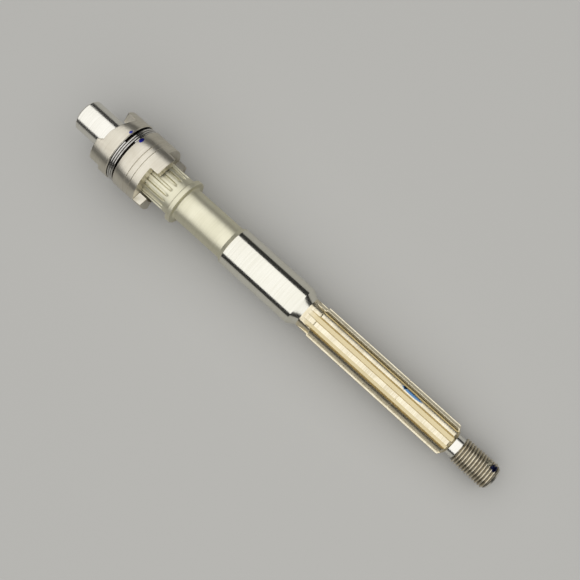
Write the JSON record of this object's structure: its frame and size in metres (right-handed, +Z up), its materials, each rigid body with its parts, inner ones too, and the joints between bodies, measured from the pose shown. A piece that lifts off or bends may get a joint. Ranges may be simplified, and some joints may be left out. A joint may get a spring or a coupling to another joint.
{
  "type": "splined propeller shaft",
  "caption": "Stepped splined shaft with a sliding dog clutch, thrust collar, bearing journal and nut thread with a cotter hole.",
  "frame": {"origin": "on the shaft's axis at the aft shoulder of the bearing journal", "axes": "+X along the shaft, from its bored nose to its nut thread; +Z up as the shaft lies on a table"},
  "size_m": [0.3096, 0.0388, 0.0388],
  "materials": {
    "machined_steel": "ground journals between matte turned lands",
    "clutch_steel": "case-hardened satin",
    "spring_steel": "black oiled wire",
    "pin_steel": "ground"
  },
  "bodies": {
    "shaft": {"shaft": "machined_steel", "return_spring": "spring_steel"},
    "dog": {"clutch_dog": "clutch_steel", "cross_pin_ring": "spring_steel", "cross_pin": "pin_steel", "spring_seat": "pin_steel"}
  },
  "joints": [
    {"name": "dog_shift", "type": "slide", "parent": "shaft", "child": "dog", "axis": [1, 0, 0], "range_m": [0, 0.009], "stiffness_N_per_m": 800, "springref_m": -0.008, "deforming": ["return_spring"]}
  ]
}
